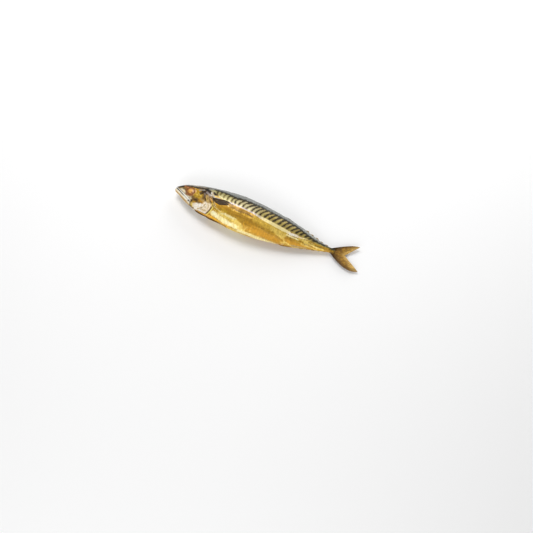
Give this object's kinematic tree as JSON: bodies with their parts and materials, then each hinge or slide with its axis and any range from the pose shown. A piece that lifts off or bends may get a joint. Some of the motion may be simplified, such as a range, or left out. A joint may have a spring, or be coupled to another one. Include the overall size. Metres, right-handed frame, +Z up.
{
  "type": "smoked mackerel",
  "caption": "Whole smoked mackerel lying on its side, with a gold flank, dark wavy bars on its back, folded fins and a forked tail.",
  "frame": {"origin": "under the middle of the fish's box, on the surface that it lies on", "axes": "+X from the snout to the tail, +Y from the belly to the back, +Z up out of the left flank, which faces up"},
  "size_m": [0.364, 0.0684, 0.0447],
  "materials": {
    "smoked_skin": "oily satin, gold flank and dark barred back",
    "dried_fin": "thin, dry and ribbed, brown and gold",
    "smoked_eye": "clouded amber, glossy"
  },
  "bodies": {
    "root": {"smoked_mackerel": "smoked_skin"}
  },
  "joints": []
}
